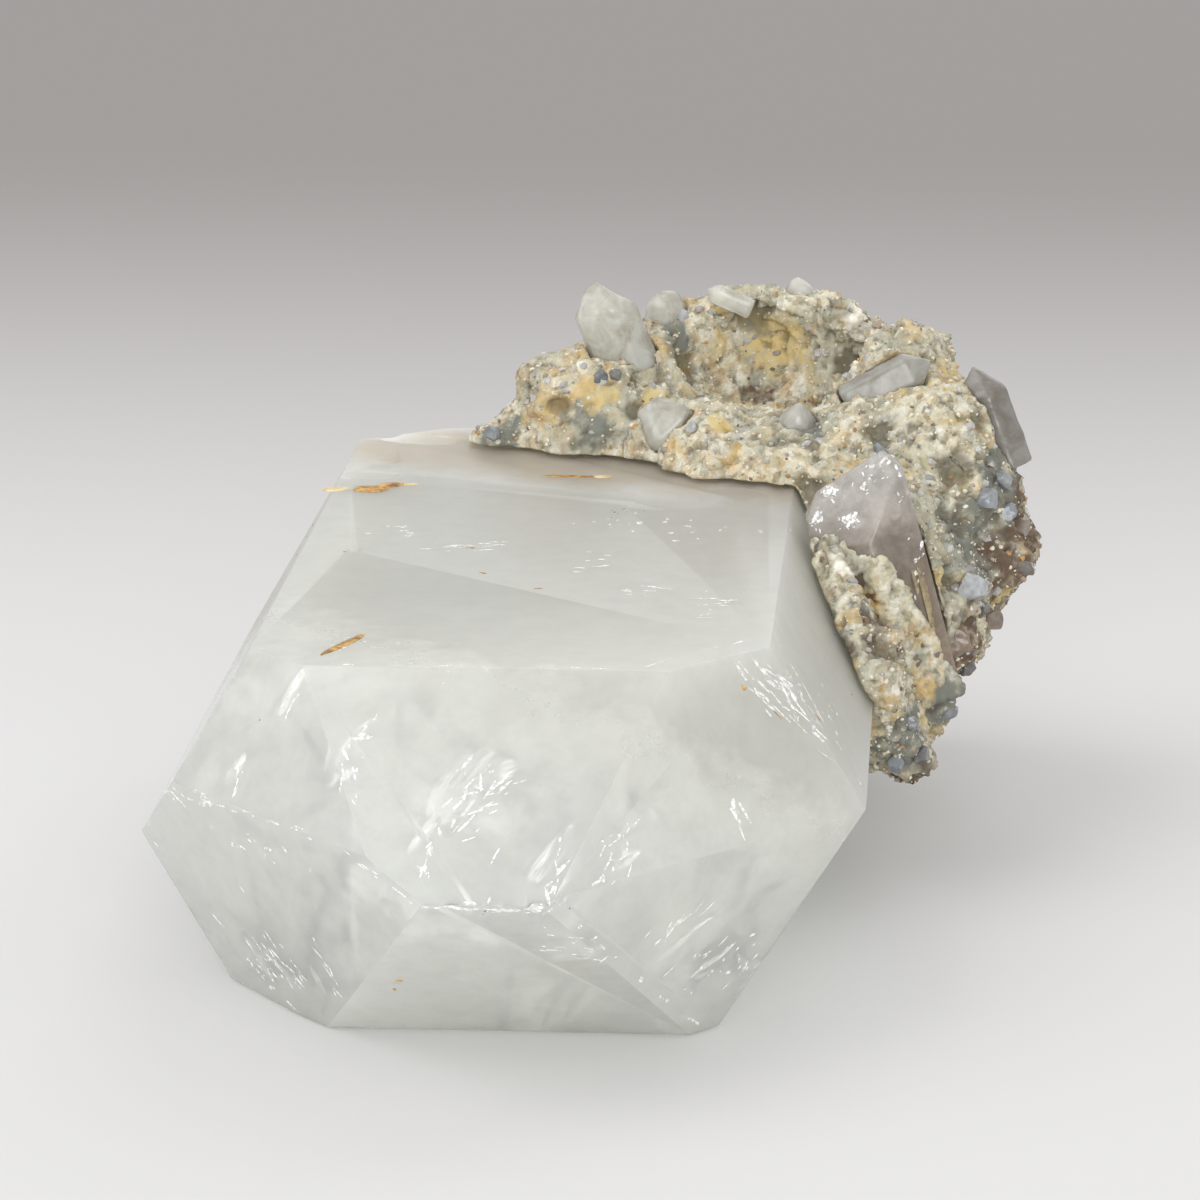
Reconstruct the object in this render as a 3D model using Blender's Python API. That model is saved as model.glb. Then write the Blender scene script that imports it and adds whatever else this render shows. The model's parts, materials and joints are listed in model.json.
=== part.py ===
"""Quartz crystal group on its rock: one large crystal lying on a prism face, rock round its back right end
and smaller crystals seated in the rock. Lengths are written in millimetres and multiplied by MM.

The design frame: X to the right, Y from the crystal's point towards its broken end, Z up from the table.
The large crystal's long axis is the line x = 0, z = AXIS_HEIGHT. At the end everything moves together, so
that the origin is the middle of the base of the whole specimen's box.
"""

import math

import bmesh
import bpy
import numpy as np
from mathutils import Matrix, Vector, noise

MM = 0.001
GAP = 0.3 * MM  # clearance between a crystal and its socket in the rock
TIP_SLOPE = 38.2  # degrees between a tip face's normal and the prism face's normal below it

# The large crystal. Each prism face: turn about the long axis from straight up, distance from the axis.
AXIS_HEIGHT = 20.0
PRISM_FACES = {
    "top": (0, 20.0),
    "upper right": (60, 35.0),
    "lower right": (123, 31.0),
    "bottom": (180, 20.0),
    "lower left": (240, 34.5),
    "upper left": (300, 30.6),
}
# Each tip face: turn about the axis, slope, and how far in front of y = 0 it crosses the axis.
TIP_FACES = {
    "top": (0, TIP_SLOPE, 28.0),
    "upper right": (60, TIP_SLOPE, 36.4),
    "lower right": (120, TIP_SLOPE, 32.8),
    "bottom": (180, TIP_SLOPE, 22.3),
    "lower left": (240, TIP_SLOPE, 27.5),
    "upper left": (300, TIP_SLOPE, 34.7),
    "steep lower left": (240, 33.3, 34.3),
    "steep lower right": (120, 32.7, 41.5),
}
# The broken back end: each break passes through a point and faces along a direction.
BREAKS = [
    ((-18.0, 112.0, 34.0), (-0.10, 1.0, 0.22)),
    ((-30.0, 108.0, 14.0), (-0.42, 1.0, -0.10)),
    ((6.0, 113.0, 12.0), (0.12, 1.0, -0.16)),
    ((-24.0, 107.0, 36.0), (-0.55, 0.75, 0.62)),
    ((-26.0, 108.0, 3.0), (-0.22, 0.90, -0.50)),
    ((2.0, 112.5, 34.0), (0.10, 1.0, 0.34)),
]
# Curved scoops in the broken end and shallow chips on the faces: centre, radii and turn about Z in degrees.
CHIPS = [
    ((-15.0, 119.0, 21.0), (14.0, 9.0, 11.0), 10.0),
    ((-29.0, 113.0, 25.0), (6.5, 9.0, 8.0), 30.0),
    ((-4.0, 117.0, 5.0), (11.0, 7.5, 7.0), -8.0),
    ((-21.0, 84.5, 40.6), (5.2, 2.6, 1.6), 4.0),
    ((-16.5, 104.5, 41.2), (6.5, 3.2, 2.6), -12.0),
    ((4.6, -26.6, 23.4), (4.6, 1.6, 1.5), -3.0),
    ((-35.2, 5.2, 24.6), (2.0, 2.6, 1.6), 20.0),
]

# The rock: overlapping lumps, each a centre and radii.
LUMPS = [
    # back mass behind and under the broken end
    ((24.0, 111.0, 30.0), (26.0, 15.0, 23.0)),
    ((8.0, 114.0, 30.0), (14.0, 10.0, 18.0)),
    # left shoulder over the top face
    ((-4.5, 104.5, 40.0), (6.5, 7.0, 5.4)),
    ((2.8, 104.5, 42.8), (9.0, 9.5, 9.8)),
    ((7.5, 106.5, 46.4), (7.5, 8.5, 8.4)),
    # front wall below the hollow
    ((13.0, 99.5, 40.5), (8.5, 8.0, 6.6)),
    ((20.0, 96.0, 40.0), (8.5, 12.0, 6.8)),
    ((28.0, 93.5, 40.0), (8.0, 13.5, 7.0)),
    ((33.0, 88.0, 38.0), (6.0, 10.0, 6.0)),
    # back rim and right rim of the hollow
    ((12.5, 108.0, 48.0), (4.6, 4.6, 5.4)),
    ((14.0, 114.5, 46.4), (8.5, 7.5, 9.2)),
    ((23.0, 115.5, 48.8), (9.0, 8.0, 9.6)),
    ((32.0, 113.5, 48.6), (10.0, 9.0, 9.4)),
    ((40.0, 105.0, 46.5), (8.5, 13.0, 9.6)),
    ((38.0, 94.0, 42.5), (8.5, 11.0, 7.4)),
    # right flank
    ((46.5, 95.0, 39.0), (8.4, 13.0, 12.0)),
    ((48.2, 93.0, 32.0), (9.4, 12.0, 10.0)),
    ((43.6, 86.0, 27.0), (8.2, 13.0, 14.6)),
    ((46.0, 80.0, 27.0), (6.0, 9.0, 10.0)),
    ((41.5, 77.0, 29.0), (6.5, 11.0, 12.0)),
    ((40.5, 77.0, 36.0), (5.2, 8.5, 8.0)),
    ((44.5, 72.0, 28.0), (3.6, 6.0, 9.0)),
    # crust beside the second crystal and the lobe that hangs below it
    ((34.6, 61.5, 35.0), (3.0, 5.5, 4.0)),
    ((36.4, 56.5, 31.4), (3.0, 7.0, 4.4)),
    ((39.0, 52.5, 26.0), (3.2, 6.5, 5.0)),
    ((40.2, 57.0, 21.0), (3.6, 7.5, 5.0)),
    ((41.6, 60.0, 17.0), (3.9, 5.6, 5.6)),
    ((43.3, 61.0, 12.6), (3.3, 4.2, 4.0)),
    ((38.6, 66.0, 15.5), (3.2, 8.0, 5.6)),
    ((42.5, 72.0, 21.0), (4.6, 9.0, 7.0)),
    ((45.0, 67.0, 18.0), (3.0, 5.0, 4.0)),
]
# Hollows in the rock: the open cavity on top, its side pockets, and dents in the right flank.
HOLLOWS = [
    ((24.0, 105.5, 51.8), (11.0, 6.6, 8.8)),
    ((18.5, 106.0, 53.5), (5.0, 4.4, 6.4)),
    ((33.0, 104.0, 52.0), (6.0, 5.0, 6.6)),
    ((24.0, 109.0, 50.0), (5.0, 5.4, 4.0)),
    ((52.5, 79.0, 36.0), (3.6, 6.0, 6.0)),
]
# Flat fractures where the rock broke away, each a point on it and the direction it faces.
FRACTURES = [
    ((22.0, 121.0, 30.0), (0.10, 1.0, 0.12)),
    ((34.0, 116.5, 50.0), (0.30, 0.80, 0.55)),
    ((6.0, 118.0, 26.0), (-0.55, 0.85, -0.15)),
    ((43.5, 113.5, 26.0), (0.80, 0.62, -0.12)),
    ((24.0, 112.0, 9.5), (0.10, 0.30, -0.95)),
    ((37.0, 104.0, 12.5), (0.62, 0.12, -0.78)),
]
ROCK_VOXEL = 1.1
ROCK_SMOOTHING = 6  # rounds of smoothing that blend the lumps
ROCK_TRIANGLES = 6400
# Roughness of the rock: size of the bumps and how far they stand out.
ROCK_BUMPS = [(9.0, 1.9), (4.2, 1.15), (2.2, 0.55)]
# Each bump is a soft swell plus a flat-topped block, less a level that keeps the rock's size.
SWELL_SPACING = 0.9
SWELL_SHARE = 0.7
BLOCK_SHARE = 0.6
BLOCK_STEEPNESS = 2.0
BUMP_LEVEL = 0.35

# Blocks that the crystals are cut from, larger than the crystals on every side.
MAIN_BLOCK_LOW = (-60.0, -60.0, -10.0)
MAIN_BLOCK_HIGH = (60.0, 140.0, 60.0)
BLOCK_MARGIN = 30.0  # added to a small crystal's length
ROCK_REACH = 300.0

# The second crystal: point, direction from root to point, turn of the first face, prism face distances from
# the back clockwise, how far below the point each tip face crosses the long axis, length.
# Its left side is moulded against the large crystal's upper right face.
SIDE_CRYSTAL = {
    "point": (39.9, 66.0, 48.4),
    "direction": (-0.27, 0.0, 1.0),
    "roll": 25.0,
    "faces": (5.0, 1.0, 2.2, 7.0, 11.0, 9.0),
    "tips": (0.4, 1.2, 0.6, 0.2, -8.0, -6.0),
    "blunt": 0.3,
    "length": 29.0,
}
SIDE_CLEARANCE = 0.5
SIDE_BROKEN_TOP = ((39.4, 66.0, 48.2), (-0.52, 0.30, 0.80))
# The small crystals, in the same words. Blunt is how much of the point is broken off.
SMALL_CRYSTALS = {
    "small_crystal_back_left": {
        "point": (3.6, 104.0, 60.6),
        "direction": (-0.42, -0.04, 1.0),
        "roll": 12.0,
        "faces": (3.2, 3.6, 3.4, 3.0, 3.5, 3.4),
        "tips": (0.3, 0.9, 0.2, 0.7, 0.0, 0.8),
        "blunt": 1.3,
        "length": 15.0,
    },
    "small_crystal_back_block": {
        "point": (12.9, 112.5, 58.6),
        "direction": (0.12, 0.05, 1.0),
        "roll": 33.0,
        "faces": (2.4, 2.3, 2.5, 2.2, 2.4, 2.5),
        "tips": (0.0, 0.3, 0.1, 0.4, 0.2, 0.5),
        "blunt": 1.6,
        "length": 9.0,
    },
    "small_crystal_blade": {
        "point": (16.9, 110.0, 57.9),
        "direction": (-1.0, 0.10, 0.42),
        "roll": 5.0,
        "faces": (0.8, 1.2, 1.2, 0.8, 1.2, 1.2),
        "tips": (0.0, 0.3, 0.2, 0.4, 0.1, 0.3),
        "blunt": 0.1,
        "length": 6.5,
    },
    "small_crystal_top": {
        "point": (27.4, 113.5, 59.4),
        "direction": (-0.35, -0.3, 1.0),
        "roll": 21.0,
        "faces": (1.9, 1.7, 2.0, 1.8, 1.9, 1.7),
        "tips": (0.1, 0.4, 0.2, 0.0, 0.3, 0.5),
        "blunt": 1.0,
        "length": 6.0,
    },
    "small_crystal_front_wedge": {
        "point": (17.0, 91.4, 47.9),
        "direction": (0.62, -0.50, 0.66),
        "roll": 40.0,
        "faces": (2.7, 3.5, 3.2, 2.8, 3.6, 3.3),
        "tips": (0.0, 1.6, 0.9, 1.8, 0.4, 1.1),
        "blunt": 0.4,
        "length": 7.2,
    },
    "small_crystal_front_nub": {
        "point": (29.4, 88.6, 48.8),
        "direction": (0.08, -0.45, 0.9),
        "roll": 0.0,
        "faces": (2.0, 2.1, 2.2, 1.9, 2.1, 2.2),
        "tips": (0.0, 0.3, 0.5, 0.2, 0.4, 0.1),
        "blunt": 0.5,
        "length": 8.0,
    },
    "small_crystal_lying": {
        "point": (45.2, 95.0, 52.6),
        "direction": (0.92, 0.06, 0.50),
        "roll": 10.0,
        "faces": (1.9, 2.4, 2.3, 2.0, 2.5, 2.2),
        "tips": (0.0, 0.7, 0.3, 0.8, 0.2, 0.5),
        "blunt": 0.3,
        "length": 12.0,
    },
    "small_crystal_right_edge": {
        "point": (49.0, 95.0, 52.6),
        "direction": (-0.38, 0.05, 1.0),
        "roll": 24.0,
        "faces": (2.9, 2.8, 3.1, 2.8, 2.9, 3.0),
        "tips": (0.0, 0.8, 0.5, 1.0, 0.3, 0.6),
        "blunt": 0.6,
        "length": 13.5,
    },
}

QUARTZ_COLOR = (0.86, 0.87, 0.83, 1.0)
SMALL_QUARTZ_COLOR = (0.80, 0.79, 0.75, 1.0)
ROCK_COLOR = (0.62, 0.55, 0.42, 1.0)


def clear_scene():
    for obj in list(bpy.data.objects):
        bpy.data.objects.remove(obj, do_unlink=True)


def make_material(name, color, roughness, transmission=0.0):
    material = bpy.data.materials.new(name)
    material.use_nodes = True
    shader = material.node_tree.nodes["Principled BSDF"]
    shader.inputs["Base Color"].default_value = color
    shader.inputs["Roughness"].default_value = roughness
    shader.inputs["Metallic"].default_value = 0.0
    shader.inputs["Transmission Weight"].default_value = transmission
    shader.inputs["IOR"].default_value = 1.544
    return material


def add_object(name, mesh, material=None):
    obj = bpy.data.objects.new(name, mesh)
    bpy.context.scene.collection.objects.link(obj)
    if material:
        mesh.materials.clear()
        mesh.materials.append(material)
    return obj


def prism_normal(turn):
    """Normal of a prism face, turned clockwise from straight up when seen from the point."""
    angle = math.radians(turn)
    return Vector((math.sin(angle), 0.0, math.cos(angle)))


def tip_normal(turn, slope):
    """The prism face's normal leant towards the point."""
    angle = math.radians(slope)
    return prism_normal(turn) * math.cos(angle) + Vector((0.0, -math.sin(angle), 0.0))


def cut_block(name, planes, low, high, spare=0.0):
    """A convex solid: a block from low to high with everything outside each plane cut away.

    Each plane is a point on it and its outward normal, moved out by spare."""
    mesh = bpy.data.meshes.new(name)
    shape = bmesh.new()
    middle = (Vector(low) + Vector(high)) / 2
    extent = Vector(high) - Vector(low)
    size = Matrix.Diagonal((*extent, 1.0))
    bmesh.ops.create_cube(shape, size=1.0, matrix=Matrix.Translation(middle) @ size)
    for point, normal in planes:
        away = Vector(normal).normalized()
        everything = shape.verts[:] + shape.edges[:] + shape.faces[:]
        cut = bmesh.ops.bisect_plane(
            shape, geom=everything, plane_co=Vector(point) + away * spare, plane_no=away, clear_outer=True
        )
        rim = [edge for edge in cut["geom_cut"] if isinstance(edge, bmesh.types.BMEdge)]
        bmesh.ops.contextual_create(shape, geom=rim)
    bmesh.ops.recalc_face_normals(shape, faces=shape.faces)
    shape.to_mesh(mesh)
    shape.free()
    return mesh


def main_crystal_planes():
    axis_point = Vector((0.0, 0.0, AXIS_HEIGHT * MM))
    planes = []
    for turn, distance in PRISM_FACES.values():
        normal = prism_normal(turn)
        planes.append((axis_point + normal * distance * MM, normal))
    for turn, slope, forward in TIP_FACES.values():
        planes.append((axis_point + Vector((0.0, -forward * MM, 0.0)), tip_normal(turn, slope)))
    for point, normal in BREAKS:
        planes.append((Vector(point) * MM, Vector(normal)))
    return planes


def main_crystal_mesh(name, spare=0.0):
    low = Vector(MAIN_BLOCK_LOW) * MM
    high = Vector(MAIN_BLOCK_HIGH) * MM
    return cut_block(name, main_crystal_planes(), low, high, spare)


def quartz_planes(crystal):
    """Planes of a six-sided crystal whose long axis ends at its point."""
    direction = Vector(crystal["direction"]).normalized()
    across = Vector((0.0, 1.0, 0.0)).cross(direction).normalized()
    ahead = direction.cross(across)
    point = Vector(crystal["point"]) * MM
    slope = math.radians(TIP_SLOPE)
    planes = []
    sides = zip(crystal["faces"], crystal["tips"])
    for number, (distance, shift) in enumerate(sides):
        angle = math.radians(crystal["roll"] + 60 * number)
        outward = across * math.sin(angle) + ahead * math.cos(angle)
        planes.append((point + outward * distance * MM, outward))
        leaning = outward * math.cos(slope) + direction * math.sin(slope)
        planes.append((point - direction * shift * MM, leaning))
    planes.append((point - direction * crystal["blunt"] * MM, direction))
    planes.append((point - direction * crystal["length"] * MM, -direction))
    return planes


def quartz_mesh(name, crystal, spare=0.0):
    reach = Vector((1.0, 1.0, 1.0)) * (crystal["length"] + BLOCK_MARGIN) * MM
    point = Vector(crystal["point"]) * MM
    return cut_block(name, quartz_planes(crystal), point - reach, point + reach, spare)


def side_crystal_mesh(name, spare=0.0):
    """The second crystal, with the large crystal's faces beside it left clear."""
    planes = quartz_planes(SIDE_CRYSTAL)
    axis_point = Vector((0.0, 0.0, AXIS_HEIGHT * MM))
    turn, distance = PRISM_FACES["upper right"]
    normal = prism_normal(turn)
    beside = axis_point + normal * (distance + SIDE_CLEARANCE + spare / MM) * MM
    planes.append((beside, -normal))
    top_point, top_normal = SIDE_BROKEN_TOP
    planes.append((Vector(top_point) * MM, Vector(top_normal)))
    reach = Vector((1.0, 1.0, 1.0)) * (SIDE_CRYSTAL["length"] + BLOCK_MARGIN) * MM
    point = Vector(SIDE_CRYSTAL["point"]) * MM
    return cut_block(name, planes, point - reach, point + reach, spare)


def ellipsoid(name, centre, radii, turn=0.0, detail=4):
    mesh = bpy.data.meshes.new(name)
    shape = bmesh.new()
    place = Matrix.Translation(Vector(centre) * MM)
    spin = Matrix.Rotation(math.radians(turn), 4, "Z")
    size = Matrix.Diagonal((radii[0] * MM, radii[1] * MM, radii[2] * MM, 1.0))
    bmesh.ops.create_icosphere(shape, subdivisions=detail, radius=1.0, matrix=place @ spin @ size)
    shape.to_mesh(mesh)
    shape.free()
    return mesh


def join_meshes(name, meshes):
    joined = bpy.data.meshes.new(name)
    shape = bmesh.new()
    for mesh in meshes:
        shape.from_mesh(mesh)
    shape.to_mesh(joined)
    shape.free()
    return joined


def evaluated(obj, name):
    """The object's mesh with its modifiers applied, as a new mesh."""
    bpy.context.view_layer.update()
    graph = bpy.context.evaluated_depsgraph_get()
    mesh = bpy.data.meshes.new_from_object(obj.evaluated_get(graph))
    mesh.name = name
    return mesh


def combine(mesh, other_meshes, name, operation="DIFFERENCE"):
    """The mesh with each other mesh taken out of it, or with only what it shares with it."""
    body = add_object(name + "_body", mesh)
    others = []
    for number, other_mesh in enumerate(other_meshes):
        other = add_object(name + "_other", other_mesh)
        others.append(other)
        step = body.modifiers.new(f"step {number}", "BOOLEAN")
        step.operation = operation
        step.solver = "EXACT"
        step.object = other
    result = evaluated(body, name)
    for obj in [body] + others:
        bpy.data.objects.remove(obj, do_unlink=True)
    return result


def keep_largest_body(mesh):
    """Removes every loose crumb, so that the mesh is one closed body."""
    shape = bmesh.new()
    shape.from_mesh(mesh)
    unseen = set(shape.verts)
    groups = []
    while unseen:
        start = unseen.pop()
        group = [start]
        for vert in group:
            for edge in vert.link_edges:
                other = edge.other_vert(vert)
                if other in unseen:
                    unseen.remove(other)
                    group.append(other)
        groups.append(group)
    groups.sort(key=len)
    for group in groups[:-1]:
        bmesh.ops.delete(shape, geom=group, context="VERTS")
    shape.to_mesh(mesh)
    shape.free()


def fused_mesh(mesh, name, smoothing=0):
    """One even closed surface round overlapping lumps."""
    blank = add_object(name + "_blank", mesh)
    fuse = blank.modifiers.new("fuse", "REMESH")
    fuse.mode = "VOXEL"
    fuse.voxel_size = ROCK_VOXEL * MM
    ease = blank.modifiers.new("ease", "SMOOTH")
    ease.factor = 0.5
    ease.iterations = smoothing
    result = evaluated(blank, name)
    bpy.data.objects.remove(blank, do_unlink=True)
    return result


def rock_blank():
    """Lumps fused, hollows taken out, flat fractures, and the surface broken up by bumps of several sizes."""
    lumps = join_meshes("lumps", [ellipsoid("lump", centre, radii) for centre, radii in LUMPS])
    hollows = [ellipsoid("hollow", centre, radii) for centre, radii in HOLLOWS]
    carved = combine(fused_mesh(lumps, "rock_fused", smoothing=ROCK_SMOOTHING), hollows, "rock_carved")
    reach = Vector((1.0, 1.0, 1.0)) * ROCK_REACH * MM
    fractures = [(Vector(point) * MM, Vector(normal)) for point, normal in FRACTURES]
    limits = cut_block("rock_limits", fractures, -reach, reach)
    rock = fused_mesh(combine(carved, [limits], "rock_split", "INTERSECT"), "rock_rough")
    roughen(rock)
    return rock


def roughen(mesh):
    """Moves each vertex along its normal by noise, in blocky steps for the larger bumps."""
    normals = [vert.normal.copy() for vert in mesh.vertices]
    for vert, normal in zip(mesh.vertices, normals):
        shift = 0.0
        for size, height in ROCK_BUMPS:
            spot = vert.co / (size * MM)
            cells = noise.voronoi(spot, distance_metric="DISTANCE", exponent=2.5)[0]
            block = min(1.0, (cells[1] - cells[0]) * BLOCK_STEEPNESS)
            swell = noise.noise(spot * SWELL_SPACING)
            shift += height * (swell * SWELL_SHARE + block * BLOCK_SHARE - BUMP_LEVEL)
        vert.co += normal * shift * MM
    mesh.update()


def rock_mesh(cutter_meshes):
    blank = add_object("rock_shape", rock_blank())
    thin = blank.modifiers.new("thin", "DECIMATE")
    thin.ratio = min(1.0, ROCK_TRIANGLES / (2.0 * len(blank.data.polygons)))
    thin.use_collapse_triangulate = True
    coarse = evaluated(blank, "rock_coarse")
    bpy.data.objects.remove(blank, do_unlink=True)
    rock = combine(coarse, cutter_meshes, "matrix")
    keep_largest_body(rock)
    return rock


def stand_on_origin(objects):
    """Moves everything together, so that the middle of the box's base is the origin."""
    bpy.context.view_layer.update()
    corners = np.array([list(obj.matrix_world @ vert.co) for obj in objects for vert in obj.data.vertices])
    low, high = corners.min(axis=0), corners.max(axis=0)
    base = Vector(((low[0] + high[0]) / 2, (low[1] + high[1]) / 2, low[2]))
    for obj in objects:
        obj.location = obj.location - base


def build():
    clear_scene()
    quartz = make_material("clear quartz", QUARTZ_COLOR, 0.05, transmission=1.0)
    small_quartz = make_material("milky quartz", SMALL_QUARTZ_COLOR, 0.15, transmission=0.6)
    rock = make_material("rock", ROCK_COLOR, 0.9)

    chips = [ellipsoid("chip", centre, radii, turn, detail=2) for centre, radii, turn in CHIPS]
    chipped = combine(main_crystal_mesh("main_crystal_whole"), chips, "main_crystal")
    pieces = [add_object("main_crystal", chipped, quartz)]
    pieces.append(add_object("side_crystal", side_crystal_mesh("side_crystal"), quartz))
    for name, crystal in SMALL_CRYSTALS.items():
        pieces.append(add_object(name, quartz_mesh(name, crystal), small_quartz))

    sockets = [main_crystal_mesh("main_socket", GAP), side_crystal_mesh("side_socket", GAP)]
    sockets += [quartz_mesh("socket", crystal, GAP) for crystal in SMALL_CRYSTALS.values()]
    pieces.append(add_object("matrix", rock_mesh(sockets), rock))
    stand_on_origin(pieces)


build()
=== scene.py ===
import json
import math
import random

import bmesh
import bpy
from mathutils import Matrix, Vector, noise
from mathutils.bvhtree import BVHTree

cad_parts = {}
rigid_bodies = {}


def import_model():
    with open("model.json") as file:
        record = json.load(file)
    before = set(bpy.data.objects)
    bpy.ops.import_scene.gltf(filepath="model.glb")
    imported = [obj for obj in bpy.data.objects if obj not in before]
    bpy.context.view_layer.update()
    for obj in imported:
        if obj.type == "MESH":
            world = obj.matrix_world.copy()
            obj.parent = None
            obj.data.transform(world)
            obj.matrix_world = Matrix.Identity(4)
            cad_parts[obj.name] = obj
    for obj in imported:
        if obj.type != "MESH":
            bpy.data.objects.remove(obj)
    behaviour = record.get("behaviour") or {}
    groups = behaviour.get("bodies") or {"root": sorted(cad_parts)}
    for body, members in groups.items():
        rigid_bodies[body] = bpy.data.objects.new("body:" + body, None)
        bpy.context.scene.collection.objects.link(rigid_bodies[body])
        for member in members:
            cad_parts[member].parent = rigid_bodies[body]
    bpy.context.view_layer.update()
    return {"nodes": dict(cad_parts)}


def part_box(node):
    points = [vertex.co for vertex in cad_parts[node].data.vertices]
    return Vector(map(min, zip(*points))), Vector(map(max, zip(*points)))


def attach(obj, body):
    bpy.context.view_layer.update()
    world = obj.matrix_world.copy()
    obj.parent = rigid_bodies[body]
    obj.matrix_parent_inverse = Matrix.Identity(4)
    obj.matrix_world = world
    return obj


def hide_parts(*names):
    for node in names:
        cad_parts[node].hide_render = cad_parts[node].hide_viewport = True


for leftOver in list(bpy.data.objects):
    bpy.data.objects.remove(leftOver, do_unlink=True)
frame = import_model()
print("frame loaded:", len(frame["nodes"]), "nodes")

mm = 0.001
noise.seed_set(1)  # without it noise_vector is another one each run

# Places on the specimen are written in mm from the large crystal's own axis: across to the right, back from
# the shoulder above its point, and up from the surface it lies on.
crystalLow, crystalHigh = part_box("main_crystal")
pointReach = 25.15  # how far the point stands out in front of the shoulder
leftReach = 37.58  # from the axis to the left edge


def at(across, back, up):
    return Vector((crystalLow.x + (leftReach + across) * mm, crystalLow.y + (pointReach + back) * mm,
                   up * mm))


def anyWay(chance):
    return Vector((chance.gauss(0, 1), chance.gauss(0, 1), chance.gauss(0, 1)))


def spotOn(face, mesh, chance, evenness=1.0):
    corners = [mesh.vertices[index].co for index in face.vertices]
    shares = [chance.random() ** evenness for corner in corners]
    return sum((corner * share for corner, share in zip(corners, shares)), Vector()) / sum(shares)


def deselectAll():
    bpy.ops.object.select_all(action="DESELECT")


def makeActive(piece):
    deselectAll()
    piece.select_set(True)
    bpy.context.view_layer.objects.active = piece


def applyAll(piece):
    makeActive(piece)
    for modifier in list(piece.modifiers):
        bpy.ops.object.modifier_apply(modifier=modifier.name)


def settle(piece):
    makeActive(piece)
    bpy.ops.object.transform_apply(location=True, rotation=True, scale=True)


# A shape that repeats is modelled once. Its mesh is kept, and each copy gets its own.
def keepShape():
    shape = bpy.context.active_object
    mesh = shape.data
    bpy.data.objects.remove(shape, do_unlink=True)
    return mesh


def copyShape(shape, name):
    piece = bpy.data.objects.new(name, shape.copy())
    bpy.context.collection.objects.link(piece)
    return piece


def joinAll(pieces, name):
    deselectAll()
    for piece in pieces:
        piece.select_set(True)
    bpy.context.view_layer.objects.active = pieces[0]
    bpy.ops.object.join()
    joined = bpy.context.active_object
    joined.name = name
    joined.data.name = name
    return joined


def copyNode(node, name):
    makeActive(frame["nodes"][node])
    bpy.ops.object.duplicate()
    piece = bpy.context.active_object
    bpy.ops.object.parent_clear(type="CLEAR_KEEP_TRANSFORM")
    piece.name = name
    piece.data.name = name
    piece.data.materials.clear()
    bpy.ops.object.mode_set(mode="EDIT")
    bpy.ops.mesh.select_all(action="SELECT")
    bpy.ops.mesh.remove_doubles(threshold=0.01 * mm)
    bpy.ops.mesh.dissolve_limited(angle_limit=math.radians(0.5))
    bpy.ops.object.mode_set(mode="OBJECT")
    return piece


def finishPiece(piece, material, slot, *nodes):
    piece.data.materials.clear()
    piece.data.materials.append(material)
    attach(piece, "root")
    if nodes:
        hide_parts(*nodes)


# Materials

quartzIndex = 1.544  # how strongly quartz bends light


def newMaterial(name, **values):
    material = bpy.data.materials.new(name)
    material.use_nodes = True
    shader = material.node_tree.nodes["Principled BSDF"]
    for socket, value in values.items():
        shader.inputs[socket.replace("_", " ")].default_value = value
    return material, material.node_tree, shader


def addNode(tree, kind, links=(), **settings):
    node = tree.nodes.new(kind)
    for key, value in settings.items():
        setattr(node, key, value)
    for socket, source in links:
        if hasattr(source, "links"):
            tree.links.new(source, node.inputs[socket])
        else:
            node.inputs[socket].default_value = source
    return node


def objectSpace(tree):
    return addNode(tree, "ShaderNodeTexCoord").outputs["Object"]


def noiseField(tree, place, perMetre, detail=3.0, roughness=0.55, distortion=0.0):
    links = [("Vector", place), ("Scale", perMetre), ("Detail", detail), ("Roughness", roughness)]
    return addNode(tree, "ShaderNodeTexNoise", links + [("Distortion", distortion)]).outputs["Fac"]


def ramp(tree, value, *stops):
    node = addNode(tree, "ShaderNodeValToRGB", [("Fac", value)])
    elements = node.color_ramp.elements
    while len(elements) < len(stops):
        elements.new(0.5)
    for element, (place, color) in zip(elements, stops):
        element.position = place
        element.color = (*color, 1.0) if isinstance(color, tuple) else (color, color, color, 1.0)
    return node.outputs["Color"]


def mixColors(tree, share, first, second, blend="MIX"):
    node = tree.nodes.new("ShaderNodeMix")
    node.data_type = "RGBA"
    node.blend_type = blend
    for socket, source in ((0, share), (6, first), (7, second)):
        if hasattr(source, "links"):
            tree.links.new(source, node.inputs[socket])
        else:
            node.inputs[socket].default_value = (*source, 1.0) if isinstance(source, tuple) else source
    return node.outputs[2]


def multiply(tree, first, second):
    return addNode(tree, "ShaderNodeMath", [(0, first), (1, second)], operation="MULTIPLY").outputs[0]


def rescale(tree, value, start, end, low=0.0, high=1.0, **settings):
    stops = [("Value", value), ("From Min", start), ("From Max", end), ("To Min", low), ("To Max", high)]
    return addNode(tree, "ShaderNodeMapRange", stops, **settings).outputs["Result"]


def partAlong(tree, place, axis):
    return addNode(tree, "ShaderNodeSeparateXYZ", [("Vector", place)]).outputs[axis]


def roughen(tree, shader, height, strength, distance):
    relief = addNode(tree, "ShaderNodeBump", [
        ("Height", height), ("Strength", strength), ("Distance", distance)
    ])
    tree.links.new(relief.outputs["Normal"], shader.inputs["Normal"])


# Stage

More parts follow.
